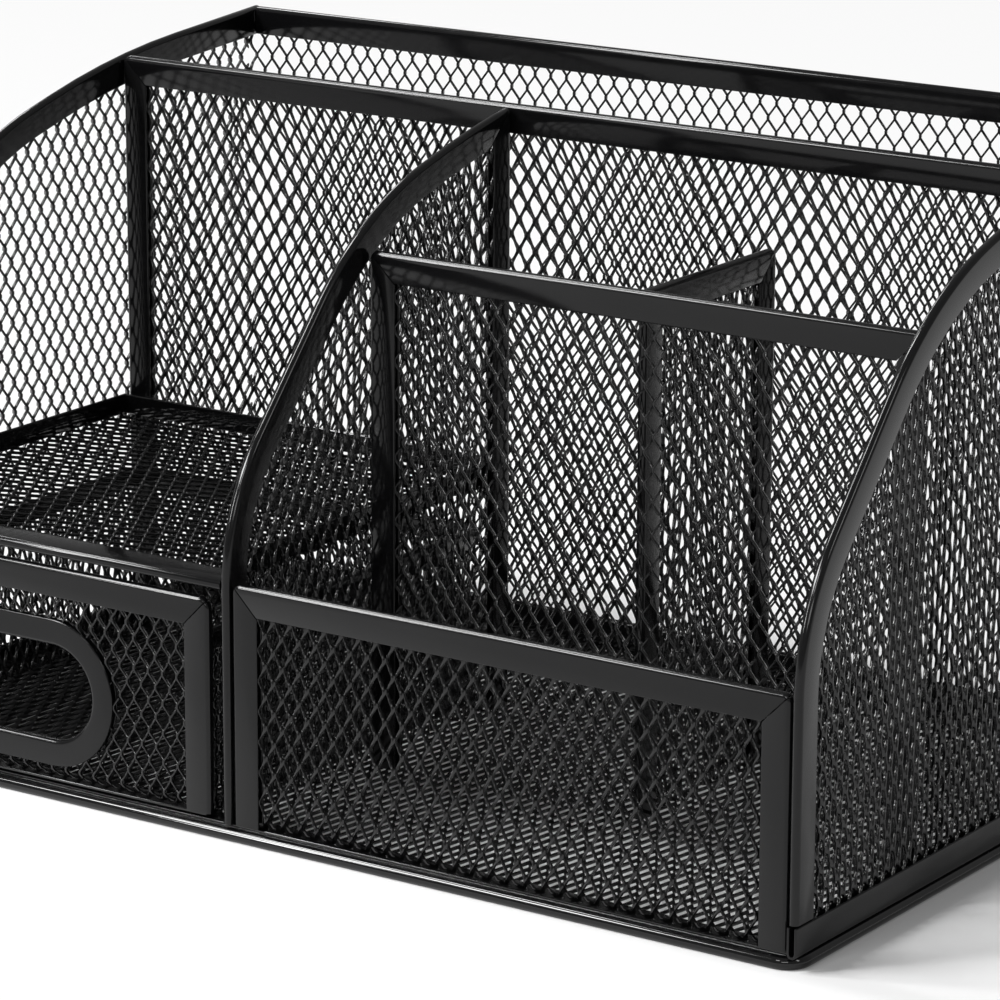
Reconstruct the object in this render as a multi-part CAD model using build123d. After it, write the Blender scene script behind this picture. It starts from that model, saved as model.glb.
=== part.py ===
from build123d import *
import math
import os

# Pen stand with drawer, millimetres. +Z is up, -Y is the front, the origin is on the table
# under the middle of the footprint. Every wall is a sheet of expanded metal whose edges are
# wrapped in folded steel strip, and the walls stand on one ring of round wire.

# ---- sizes of the body --------------------------------------------------------------------
left_bay_width = 95.0
right_bay_width = 120.0
body_depth = 140.0
rear_height = 129.0

# ---- edge strips and sheet ----------------------------------------------------------------
panel_thickness = 2.0
strip_width = 5.8
fold_wall = 1.2
sheet_thickness = 0.6
sheet_tuck_gap = 0.2
mitre_gap = 0.3
panel_corner_radius = 1.8
fit_gap = 0.3

# ---- expanded metal: the real sheet has cells of this size, the solids keep their shape ----
cell_width = 3.85
cell_height = 6.2
strand_width = 0.95
most_gaps_in_a_sheet = 160
smallest_gap_share = 0.2
sheet_margin = 1.4

# ---- base wire ----------------------------------------------------------------------------
wire_diameter = 2.6
wire_stand_out = 0.5
wire_corner_radius = 4.0
wire_flat_depth = 0.15

# ---- outline of the side walls: rise at the front, sweep to the back ------------------------
front_edge_turn_height = 64.0
sweep_knee_setback = 43.8
sweep_knee_height = 112.4
shoulder_setback = 91.3
shoulder_height = 125.3
front_edge_radius = 41.0
sweep_radius = 72.0
shoulder_radius = 220.0

# ---- dividers and front panel -------------------------------------------------------------
rear_divider_setback = 93.5
rear_divider_height = 125.0
pen_divider_setback = 45.0
pen_divider_height = 104.5
small_divider_offset = 59.6
small_divider_height = 104.0
front_panel_height = 49.8
front_panel_recess = 0.4
front_strip_lift = 0.8

# ---- tray over the drawer -----------------------------------------------------------------
tray_height = 50.0
tray_front_strip_width = 6.8
tray_flange_height = 4.2

# ---- drawer -------------------------------------------------------------------------------
drawer_side_gap = 3.0
drawer_rear_gap = 1.6
drawer_front_height = 42.7
drawer_front_corner_radius = 2.6
drawer_wall_height = 36.0
drawer_wall_inset = 2.0
drawer_strip_width = 4.0
drawer_strip_thickness = 1.6
finger_hole_length = 32.4
finger_hole_height = 18.7
finger_rim_width = 5.2
finger_hole_rise = 17.9

# ---- places that follow from the sizes ------------------------------------------------------
body_width = left_bay_width + right_bay_width + 3 * panel_thickness
front_y = -body_depth / 2
rear_y = body_depth / 2
left_wall_x = -(body_width - panel_thickness) / 2
right_wall_x = -left_wall_x
middle_wall_x = left_wall_x + left_bay_width + panel_thickness
half_panel = panel_thickness / 2
half_sheet = sheet_thickness / 2
sheet_inset = fold_wall + sheet_tuck_gap
floor_bottom_z = wire_diameter - wire_flat_depth
floor_top_z = floor_bottom_z + sheet_thickness
rear_divider_y = front_y + rear_divider_setback
pen_divider_y = front_y + pen_divider_setback
small_divider_x = middle_wall_x + half_panel + small_divider_offset
front_panel_y = front_y + front_panel_recess + half_panel
tray_z = tray_height - half_panel
inner_left_x = left_wall_x + half_panel
inner_right_x = right_wall_x - half_panel
middle_left_x = middle_wall_x - half_panel
middle_right_x = middle_wall_x + half_panel
wall_strip_top_z = floor_bottom_z + strip_width

os.makedirs("parts", exist_ok=True)


def side_plane(x):
    """Plane of a wall that runs front to back: local x is +Y, local y is +Z."""
    return Plane(origin=(x, 0, 0), x_dir=(0, 1, 0), z_dir=(1, 0, 0))


def cross_plane(y):
    """Plane of a wall that runs left to right: local x is +X, local y is +Z."""
    return Plane(origin=(0, y, 0), x_dir=(1, 0, 0), z_dir=(0, -1, 0))


def level_plane(z):
    """Plane of a level sheet: local x is +X, local y is +Y."""
    return Plane(origin=(0, 0, z), x_dir=(1, 0, 0), z_dir=(0, 0, 1))


def save(shape, node):
    """Writes one named sub-part."""
    export_step(shape, f"parts/{node}.step")


def polygon(points):
    """Flat face through corner points in local x and y."""
    return Face(Wire.make_polygon([Vector(*point) for point in points]))


def rectangle(left, bottom, right, top):
    """Flat face between two opposite corners."""
    return polygon([(left, bottom), (right, bottom), (right, top), (left, top)])


def slab(face, thickness):
    """Solid of even thickness, centred on the local plane."""
    return Pos(0, 0, -thickness / 2) * extrude(face, amount=thickness, dir=(0, 0, 1))


# ---- expanded metal -------------------------------------------------------------------------
def diamond(centre_x, centre_y, half_width, half_height):
    """One gap of the expanded metal."""
    return [
        (centre_x - half_width, centre_y),
        (centre_x, centre_y - half_height),
        (centre_x + half_width, centre_y),
        (centre_x, centre_y + half_height),
    ]


def gap_wires(window, along_y=True):
    """Outlines of the gaps that lie in the window, cut off where the window ends."""
    cell_area = cell_width * cell_height / 2
    coarse = max(1.0, math.sqrt(window.area / cell_area / most_gaps_in_a_sheet))
    half_cell_x = coarse * (cell_width if along_y else cell_height) / 2
    half_cell_y = coarse * (cell_height if along_y else cell_width) / 2
    across = 2 * half_cell_x * half_cell_y / math.hypot(half_cell_x, half_cell_y)
    open_share = 1 - coarse * strand_width / across
    gap_x = half_cell_x * open_share
    gap_y = half_cell_y * open_share
    smallest_area = smallest_gap_share * 2 * gap_x * gap_y
    box = window.bounding_box()
    middle = box.center()
    columns = math.ceil(box.size.X / half_cell_x / 2) + 1
    rows = math.ceil(box.size.Y / half_cell_y / 2) + 1
    wires = []
    for column in range(-columns, columns + 1):
        for row in range(-rows, rows + 1):
            if (column + row) % 2:
                continue
            corners = diamond(
                middle.X + column * half_cell_x, middle.Y + row * half_cell_y, gap_x, gap_y
            )
            inside = [window.is_inside(Vector(*corner)) for corner in corners]
            if all(inside):
                wires.append(Wire.make_polygon([Vector(*corner) for corner in corners]))
                continue
            if not any(inside):
                continue
            for piece in (polygon(corners) & window).faces():
                if piece.area > smallest_area:
                    wires.append(piece.outer_wire())
    return wires


def expanded_sheet(outline, window, holes=(), along_y=True):
    """Flat expanded-metal sheet: one holed face, given its thickness."""
    wires = gap_wires(window, along_y) + [hole.outer_wire() for hole in holes]
    return slab(Face(outline.outer_wire(), wires), sheet_thickness)


# ---- folded edge strip ----------------------------------------------------------------------
def strip_section(start, inward, along, width, thickness):
    """Section of a strip folded over a sheet's edge: round fold outside, open slot inside."""
    plane = Plane(origin=Vector(*start), x_dir=Vector(*inward), z_dir=Vector(*along))
    fold_radius = thickness / 2 - sheet_thickness / 6
    outer = rectangle(0, -thickness / 2, width, thickness / 2)
    fold_corners = outer.vertices().sort_by(Axis.X)[:2]
    outer = fillet(fold_corners, fold_radius)
    slot = rectangle(fold_wall, -half_sheet, width + fold_wall, half_sheet)
    return plane.location * (outer - slot)


def straight_strip(start, end, footprint, width=strip_width, thickness=panel_thickness):
    """Strip along a straight edge. The panel lies to the left of start to end."""
    run = Vector(*end) - Vector(*start)
    along = run.normalized()
    inward = Vector(-along.Y, along.X)
    section = strip_section(start, inward, along, width, thickness)
    bar = extrude(section, amount=run.length, dir=along)
    return bar & slab(footprint, 2 * thickness)


def swept_strip(path, footprint):
    """Strip along a curved edge. The panel lies to the right of the path."""
    along = path % 0
    inward = Vector(along.Y, -along.X)
    section = strip_section(path @ 0, inward, along, strip_width, panel_thickness)
    return sweep(section, path=path) & slab(footprint, 2 * panel_thickness)


def framed_panel(name, plane, left, right, bottom, top, strip_bottom, corner):
    """Upright panel with strips on its top, left and right edges, mitred at the top."""
    outline = rectangle(left, bottom, right, top)
    outline = fillet(outline.vertices().sort_by(Axis.Y)[-2:], corner)
    sheet = rectangle(left + sheet_inset, bottom, right - sheet_inset, top - sheet_inset)
    tuck = strip_width - sheet_margin / 2
    window = rectangle(left + tuck, bottom + sheet_margin, right - tuck, top - tuck)
    slack = mitre_gap / 2
    inner_left = left + strip_width
    inner_right = right - strip_width
    inner_top = top - strip_width
    over = 2 * corner
    footprints = {
        "top_strip": polygon([
            (left + slack - over, top + over),
            (inner_left + slack, inner_top),
            (inner_right - slack, inner_top),
            (right - slack + over, top + over),
        ]),
        "left_strip": polygon([
            (left - over, strip_bottom),
            (inner_left, strip_bottom),
            (inner_left, inner_top - slack),
            (left - over, top + over - slack),
        ]),
        "right_strip": polygon([
            (inner_right, strip_bottom),
            (right + over, strip_bottom),
            (right + over, top + over - slack),
            (inner_right, inner_top - slack),
        ]),
    }
    edges = {
        "top_strip": ((right, top), (left, top)),
        "left_strip": ((left, top), (left, bottom)),
        "right_strip": ((right, bottom), (right, top)),
    }
    for member, (start, end) in edges.items():
        shape = straight_strip(start, end, outline & footprints[member])
        save(plane.location * shape, f"{name}_{member}")
    return sheet, window


# ---- outline of the side walls ---------------------------------------------------------------
def wall_edge_path(start_z):
    """Outer edge of a side wall, from its front foot up and back to its rear top corner."""
    return FilletPolyline(
        (front_y, start_z),
        (front_y, front_edge_turn_height),
        (front_y + sweep_knee_setback, sweep_knee_height),
        (front_y + shoulder_setback, shoulder_height),
        (rear_y, rear_height),
        radius=[front_edge_radius, sweep_radius, shoulder_radius],
    )


def wall_outline(bottom):
    """Face of a side wall above the given height."""
    path = wall_edge_path(bottom)
    closing = Polyline((rear_y, rear_height), (rear_y, bottom), (front_y, bottom))
    return Face(Wire(path.edges() + closing.edges()))


def wall_height_at(y):
    """Height of the side wall's outer edge at a place along its depth."""
    upright = Edge.make_line((y, 0), (y, 2 * rear_height))
    crossing = wall_edge_path(floor_bottom_z).edges()
    hits = [point for edge in crossing for point in (edge.find_intersection_points(upright))]
    return max(point.Y for point in hits)


full_wall = wall_outline(floor_bottom_z)
inset_wall = offset(full_wall, amount=-sheet_inset)
window_wall = offset(full_wall, amount=-(strip_width - sheet_margin / 2))


# ---- left and right walls --------------------------------------------------------------------
def make_outer_wall(name, x):
    """Side wall: sheet, bottom strip, and the strip that runs up the front and over the top."""
    plane = side_plane(x)
    back_sheet_face_y = rear_y - half_panel - half_sheet
    sheet = inset_wall & rectangle(front_y, 0, back_sheet_face_y, 2 * rear_height)
    window = window_wall & rectangle(front_y, 0, back_sheet_face_y - sheet_margin, 2 * rear_height)
    save(plane.location * expanded_sheet(sheet.face(), window.face()), f"{name}_net")
    edging_foot = wall_strip_top_z + mitre_gap
    edging_area = full_wall & rectangle(front_y, edging_foot, rear_y, 2 * rear_height)
    edging = swept_strip(wall_edge_path(floor_bottom_z), edging_area)
    save(plane.location * edging, f"{name}_edging")
    foot_area = rectangle(front_y, floor_bottom_z, rear_y, wall_strip_top_z)
    foot = straight_strip((front_y, floor_bottom_z), (rear_y, floor_bottom_z), foot_area)
    save(plane.location * foot, f"{name}_bottom_strip")


for wall_name, wall_x in (("left_wall", left_wall_x), ("right_wall", right_wall_x)):
    make_outer_wall(wall_name, wall_x)


# ---- back wall -------------------------------------------------------------------------------
def make_back_wall():
    """Back wall between the side walls, with strips along its top and bottom."""
    plane = cross_plane(rear_y - half_panel)
    left = inner_left_x
    right = inner_right_x
    sheet = rectangle(left, floor_bottom_z + sheet_inset, right, rear_height - sheet_inset)
    tuck = strip_width - sheet_margin / 2
    window = rectangle(
        left + sheet_margin, floor_bottom_z + tuck, right - sheet_margin, rear_height - tuck
    )
    save(plane.location * expanded_sheet(sheet, window), "back_wall_net")
    strip_left = inner_left_x + mitre_gap / 2
    strip_right = -strip_left
    top_area = rectangle(strip_left, rear_height - strip_width, strip_right, rear_height)
    top = straight_strip((strip_right, rear_height), (strip_left, rear_height), top_area)
    save(plane.location * top, "back_wall_top_strip")
    foot_area = rectangle(strip_left, floor_bottom_z, strip_right, wall_strip_top_z)
    foot = straight_strip((strip_left, floor_bottom_z), (strip_right, floor_bottom_z), foot_area)
    save(plane.location * foot, "back_wall_bottom_strip")


make_back_wall()


# ---- middle wall between the two bays ---------------------------------------------------------
def make_middle_wall():
    """Wall with the side walls' outline, ending in a mitred strip in front of the rear divider."""
    plane = side_plane(middle_wall_x)
    end_y = rear_divider_y - half_panel - fit_gap
    end_top = wall_height_at(end_y)
    slack = mitre_gap / 2
    reach = 2 * strip_width
    room = rectangle(front_y, floor_top_z, end_y, 2 * rear_height)
    outline = full_wall & room
    corner = outline.vertices().sort_by_distance((end_y, end_top))[0]
    outline = fillet(corner, panel_corner_radius)
    sheet = inset_wall & rectangle(front_y, floor_top_z, end_y - sheet_inset, 2 * rear_height)
    tuck = strip_width - sheet_margin / 2
    window = window_wall & rectangle(
        front_y, floor_top_z + sheet_margin, end_y - tuck, 2 * rear_height
    )
    save(plane.location * expanded_sheet(sheet.face(), window.face()), "middle_wall_net")
    edging_area = outline & polygon([
        (front_y - reach, floor_top_z),
        (end_y - reach, floor_top_z),
        (end_y - reach, end_top - reach + slack),
        (end_y + reach, end_top + reach + slack),
        (front_y - reach, end_top + reach + slack),
    ])
    edging = swept_strip(wall_edge_path(floor_bottom_z), edging_area)
    save(plane.location * edging, "middle_wall_edging")
    rear_area = outline & polygon([
        (end_y - strip_width, floor_top_z),
        (end_y + reach, floor_top_z),
        (end_y + reach, end_top + reach - slack),
        (end_y - strip_width, end_top - strip_width - slack),
    ])
    rear = straight_strip((end_y, floor_top_z), (end_y, end_top), rear_area)
    save(plane.location * rear, "middle_wall_rear_strip")


make_middle_wall()

# ---- dividers --------------------------------------------------------------------------------
divider_places = {
    "rear_divider": (
        cross_plane(rear_divider_y),
        inner_left_x + fit_gap,
        inner_right_x - fit_gap,
        rear_divider_height,
    ),
    "pen_divider": (
        cross_plane(pen_divider_y),
        middle_right_x + fit_gap,
        inner_right_x - fit_gap,
        pen_divider_height,
    ),
    "small_divider": (
        side_plane(small_divider_x),
        pen_divider_y + half_panel + fit_gap,
        rear_divider_y - half_panel - fit_gap,
        small_divider_height,
    ),
}
for divider_name, (divider_plane, near_end, far_end, divider_top) in divider_places.items():
    divider_sheet, divider_window = framed_panel(
        divider_name, divider_plane, near_end, far_end,
        floor_top_z, divider_top, floor_top_z, panel_corner_radius,
    )
    divider_net = expanded_sheet(divider_sheet, divider_window)
    save(divider_plane.location * divider_net, f"{divider_name}_net")


# ---- low front panel of the right bay ----------------------------------------------------------
def make_front_panel():
    """Low panel in front of the pens. Its sheet reaches the wire, its side strips end above it."""
    plane = cross_plane(front_panel_y)
    left = middle_right_x + fit_gap
    right = inner_right_x - fit_gap
    sheet, window = framed_panel(
        "front_panel", plane, left, right,
        floor_bottom_z, front_panel_height, floor_bottom_z + front_strip_lift, panel_corner_radius,
    )
    save(plane.location * expanded_sheet(sheet, window), "front_panel_net")


make_front_panel()


# ---- base wire and floor -----------------------------------------------------------------------
def make_base():
    """Ring of round wire with a small flat where it rests, and the floor sheet inside the walls."""
    wire_radius = wire_diameter / 2
    half_x = body_width / 2 + wire_stand_out - wire_radius
    half_y = body_depth / 2 + wire_stand_out - wire_radius
    centre_line = fillet(
        rectangle(-half_x, -half_y, half_x, half_y).vertices(), wire_corner_radius
    ).face().outer_wire()
    path = Pos(0, 0, wire_radius) * centre_line
    round_section = Plane(origin=path @ 0, z_dir=path % 0).location * Circle(wire_radius)
    ring = sweep(round_section, path=path)
    below = Box(
        2 * body_width, 2 * body_depth, wire_radius, align=(Align.CENTER, Align.CENTER, Align.MAX)
    )
    ring = ring - Pos(0, 0, wire_flat_depth) * below
    save(Pos(0, 0, -wire_flat_depth) * ring, "base_wire")


def make_floor():
    """Floor sheet of both bays."""
    front = front_panel_y + half_panel
    rear = rear_y - panel_thickness
    sheet = rectangle(inner_left_x, front, inner_right_x, rear)
    window = rectangle(
        inner_left_x + sheet_margin, front + sheet_margin,
        inner_right_x - sheet_margin, rear - sheet_margin,
    )
    plane = level_plane(floor_bottom_z + half_sheet)
    save(plane.location * expanded_sheet(sheet, window), "floor_net")


make_base()
make_floor()


# ---- tray over the drawer ------------------------------------------------------------------------
def make_tray():
    """Level sheet with a strip on its front edge and low flanges turned up at the walls."""
    plane = level_plane(tray_z)
    left = left_wall_x + half_sheet
    right = middle_left_x - fit_gap
    rear = rear_divider_y - half_panel
    front = front_y + strip_width + fit_gap
    edge_y = front_y + front_panel_recess
    strip_left = inner_left_x + fit_gap
    sheet = rectangle(left, front, right, rear) + rectangle(
        strip_left, edge_y + sheet_inset, right, front
    )
    window = rectangle(
        left + sheet_margin, edge_y + tray_front_strip_width - sheet_margin / 2,
        right - sheet_margin, rear - sheet_margin,
    )
    save(plane.location * expanded_sheet(sheet.face(), window), "tray_net")
    strip_area = rectangle(strip_left, edge_y, right, edge_y + tray_front_strip_width)
    strip = straight_strip(
        (strip_left, edge_y), (right, edge_y), strip_area, width=tray_front_strip_width
    )
    save(plane.location * strip, "tray_front_strip")
    flange_front = edge_y + tray_front_strip_width
    flange_z = tray_z + half_sheet
    flanges = {
        "tray_left_flange": (left, flange_front, left + sheet_thickness, rear),
        "tray_right_flange": (right - sheet_thickness, flange_front, right, rear),
        "tray_rear_flange": (left + sheet_thickness, rear - sheet_thickness, right - sheet_thickness, rear),
    }
    for flange_name, (x_low, y_low, x_high, y_high) in flanges.items():
        flange = extrude(rectangle(x_low, y_low, x_high, y_high), amount=tray_flange_height)
        save(Pos(0, 0, flange_z) * flange, flange_name)


make_tray()


# ---- drawer --------------------------------------------------------------------------------------
def finger_slot(grow):
    """Slot-shaped face about the finger hole's centre, grown evenly by the given amount."""
    height = finger_hole_height + 2 * grow
    straight = finger_hole_length - finger_hole_height
    centre_x = (inner_left_x + middle_left_x) / 2
    centre_z = drawer_bottom_z + finger_hole_rise
    return Pos(centre_x, centre_z) * SlotCenterToCenter(straight, height)


drawer_bottom_z = floor_top_z + fit_gap
drawer_left_x = inner_left_x + drawer_side_gap
drawer_right_x = middle_left_x - drawer_side_gap
drawer_front_y = front_panel_y
drawer_front_rear_y = drawer_front_y + half_panel
drawer_back_y = rear_divider_y - half_panel - drawer_rear_gap - drawer_strip_thickness / 2
drawer_wall_top_z = drawer_bottom_z + drawer_wall_height
drawer_left_wall_x = drawer_left_x + drawer_wall_inset
drawer_right_wall_x = drawer_right_x - drawer_wall_inset


def make_drawer_front():
    """Framed drawer front with a slot-shaped finger hole in a flat folded rim."""
    plane = cross_plane(drawer_front_y)
    top = drawer_bottom_z + drawer_front_height
    sheet, window = framed_panel(
        "drawer_front", plane, drawer_left_x, drawer_right_x,
        drawer_bottom_z, top, drawer_bottom_z + front_strip_lift, drawer_front_corner_radius,
    )
    rim_sheet_edge = finger_slot(sheet_inset).face()
    window = window - finger_slot(finger_rim_width - sheet_margin / 2)
    net = expanded_sheet(sheet, window.face(), holes=[rim_sheet_edge])
    save(plane.location * net, "drawer_front_net")
    hole = finger_slot(0)
    rim = slab(finger_slot(finger_rim_width), panel_thickness) - slab(hole, 2 * panel_thickness)
    slot = slab(finger_slot(2 * finger_rim_width), sheet_thickness)
    slot = slot - slab(finger_slot(fold_wall), 2 * panel_thickness)
    fold_radius = panel_thickness / 2 - sheet_thickness / 6
    hole_edges = rim.edges().filter_by(lambda edge: hole.face().outer_wire().distance_to(
        edge @ 0.5) < panel_thickness).group_by(Axis.Z)
    rim = fillet(hole_edges[0] + hole_edges[-1], fold_radius)
    save(plane.location * (rim - slot), "drawer_finger_rim")


def make_drawer_body():
    """Floor, side and back sheets of the drawer, with folded strips along the top edges."""
    front = drawer_front_rear_y
    tuck = drawer_strip_width - sheet_margin / 2
    sheet_top = drawer_wall_top_z - sheet_inset
    wall_bottom = drawer_bottom_z + sheet_thickness
    side_rear = drawer_back_y - drawer_strip_thickness / 2
    side_sheet = rectangle(front, wall_bottom, side_rear, sheet_top)
    side_window = rectangle(
        front + sheet_margin, wall_bottom + sheet_margin,
        side_rear - sheet_margin, drawer_wall_top_z - tuck,
    )
    strip_rear = side_rear - mitre_gap
    strip_area = rectangle(
        front, drawer_wall_top_z - drawer_strip_width, strip_rear, drawer_wall_top_z
    )
    for side, wall_x in (("left", drawer_left_wall_x), ("right", drawer_right_wall_x)):
        plane = side_plane(wall_x)
        save(plane.location * expanded_sheet(side_sheet, side_window), f"drawer_{side}_net")
        strip = straight_strip(
            (strip_rear, drawer_wall_top_z), (front, drawer_wall_top_z), strip_area,
            width=drawer_strip_width, thickness=drawer_strip_thickness,
        )
        save(plane.location * strip, f"drawer_{side}_top_strip")
    back_left = drawer_left_wall_x - half_sheet
    back_right = drawer_right_wall_x + half_sheet
    back_plane = cross_plane(drawer_back_y)
    back_sheet = rectangle(back_left, wall_bottom, back_right, sheet_top)
    back_window = rectangle(
        back_left + sheet_margin, wall_bottom + sheet_margin,
        back_right - sheet_margin, drawer_wall_top_z - tuck,
    )
    save(back_plane.location * expanded_sheet(back_sheet, back_window), "drawer_back_net")
    back_area = rectangle(
        back_left, drawer_wall_top_z - drawer_strip_width, back_right, drawer_wall_top_z
    )
    back_strip = straight_strip(
        (back_right, drawer_wall_top_z), (back_left, drawer_wall_top_z), back_area,
        width=drawer_strip_width, thickness=drawer_strip_thickness,
    )
    save(back_plane.location * back_strip, "drawer_back_top_strip")
    floor_rear = drawer_back_y + half_sheet
    floor_sheet = rectangle(back_left, front, back_right, floor_rear)
    floor_window = rectangle(
        back_left + sheet_margin, front + sheet_margin,
        back_right - sheet_margin, floor_rear - sheet_margin,
    )
    floor_plane = level_plane(drawer_bottom_z + half_sheet)
    save(floor_plane.location * expanded_sheet(floor_sheet, floor_window), "drawer_floor_net")


make_drawer_front()
make_drawer_body()
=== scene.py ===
"""Pen stand with drawer: the finished surfaces of every piece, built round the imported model.

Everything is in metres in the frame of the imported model: +Z is up, -Y is the front, and the
origin is on the table under the middle of the footprint.
"""

import logging
import math
from dataclasses import dataclass, field
from enum import Enum

import bmesh
import bpy
from mathutils import Matrix, Vector


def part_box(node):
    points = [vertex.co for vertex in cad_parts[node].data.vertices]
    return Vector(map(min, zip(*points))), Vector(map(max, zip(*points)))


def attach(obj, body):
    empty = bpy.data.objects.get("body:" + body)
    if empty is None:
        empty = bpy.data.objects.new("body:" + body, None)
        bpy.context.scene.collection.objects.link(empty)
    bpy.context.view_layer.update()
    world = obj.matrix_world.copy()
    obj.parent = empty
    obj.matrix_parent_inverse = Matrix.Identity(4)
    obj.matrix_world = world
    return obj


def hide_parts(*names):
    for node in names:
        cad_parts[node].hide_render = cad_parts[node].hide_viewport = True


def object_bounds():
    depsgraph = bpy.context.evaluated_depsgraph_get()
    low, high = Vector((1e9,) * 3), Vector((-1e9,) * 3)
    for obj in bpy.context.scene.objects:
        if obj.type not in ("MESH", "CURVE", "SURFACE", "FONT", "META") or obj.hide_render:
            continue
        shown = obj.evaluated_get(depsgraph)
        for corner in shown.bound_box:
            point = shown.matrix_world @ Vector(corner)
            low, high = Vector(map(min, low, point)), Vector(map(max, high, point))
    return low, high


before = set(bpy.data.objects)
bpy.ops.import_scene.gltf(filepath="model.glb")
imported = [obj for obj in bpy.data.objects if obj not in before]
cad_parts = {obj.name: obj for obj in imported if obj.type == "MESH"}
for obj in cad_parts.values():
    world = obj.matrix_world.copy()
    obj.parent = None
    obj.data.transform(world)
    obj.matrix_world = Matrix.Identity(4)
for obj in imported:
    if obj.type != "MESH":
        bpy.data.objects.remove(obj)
CAD_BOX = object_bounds()
MM = 0.001
UP = Vector((0, 0, 1))
LOG = logging.getLogger("pen_stand")

# Steel strip: its cheeks, its fold as a share of half the thickness, its corners, seams and ends.
CHEEK = 0.5 * MM
DRAWER_CHEEK = 0.4 * MM
FOLD_SHARE = 0.92
STRIP_CORNER = 1.8 * MM
DRAWER_CORNER = 2.6 * MM
CORNER_STATIONS = 8
SEAM_GAP = 0.3 * MM
END_ROUNDING = 0.1 * MM
MITRE_REACH = 60 * MM
SHARP_ANGLE = math.radians(42)

# Facets of round turns, and how close points have to be to be joined.
TURN_FACET = math.radians(2.5)
CUT_FACET = math.radians(7)
ROUTE_STEP = math.radians(1)
RIM_FACETS = 48
FLANGE_FACETS = 6
WIRE_FACET = 15
WIRE_TURN_FACETS = 10
WELD = 0.01 * MM
NET_WELD = 0.004 * MM

# Expanded sheets: how thick they are, stand back from edges, wrap, roll and stay unslit.
NET_NODE_HALF = 0.3 * MM
NET_HALF = 0.7 * MM
NET_INSET = 1.5 * MM
WRAP_RADIUS = 1.8 * MM
ROLL_RADIUS = 2.2 * MM
MARGIN_FRONT = 1.1 * MM
MARGIN_WIDTH = 3.4 * MM
MARGIN_HALF = 0.25 * MM
CUT_DISTANCE = 1e-7

# Outer edge of the side walls: its turns, and where its straight runs would meet.
WALL_ROUTE_RADII = (41 * MM, 72 * MM, 220 * MM)
FRONT_TURN_HEIGHT = 64 * MM
KNEE = (43.8 * MM, 112.4 * MM)
SHOULDER = (91.3 * MM, 125.3 * MM)


class Slot(Enum):
    """The material slots of the record."""

    STRIP = "strip_enamel"
    MESH = "mesh_enamel"
    WIRE = "wire_enamel"


class Body(Enum):
    """What a piece moves with."""

    FRAME = "frame"
    DRAWER = "drawer"


# ---- finishes -----------------------------------------------------------------------------------
class NodeGraph:
    """Short way to add and join shader nodes."""

    def __init__(self, tree: bpy.types.NodeTree) -> None:
        self.tree = tree

    def add(self, kind: str, **values: object) -> bpy.types.Node:
        """Adds a node.

        Args:
            kind: type name of the node.
            values: its own settings, or its inputs, named with spaces as underscores.

        Returns:
            The new node.
        """
        node = self.tree.nodes.new(kind)
        for name, value in values.items():
            if hasattr(node, name):
                setattr(node, name, value)
            else:
                node.inputs[name.replace("_", " ")].default_value = value
        return node

    def wire(self, *links: tuple[bpy.types.Node, str | int, bpy.types.Node, str | int]) -> None:
        """Links nodes.

        Args:
            links: each a node, its output, the next node and that node's input.
        """
        for start, output, end, entry in links:
            self.tree.links.new(start.outputs[output], end.inputs[entry])


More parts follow.
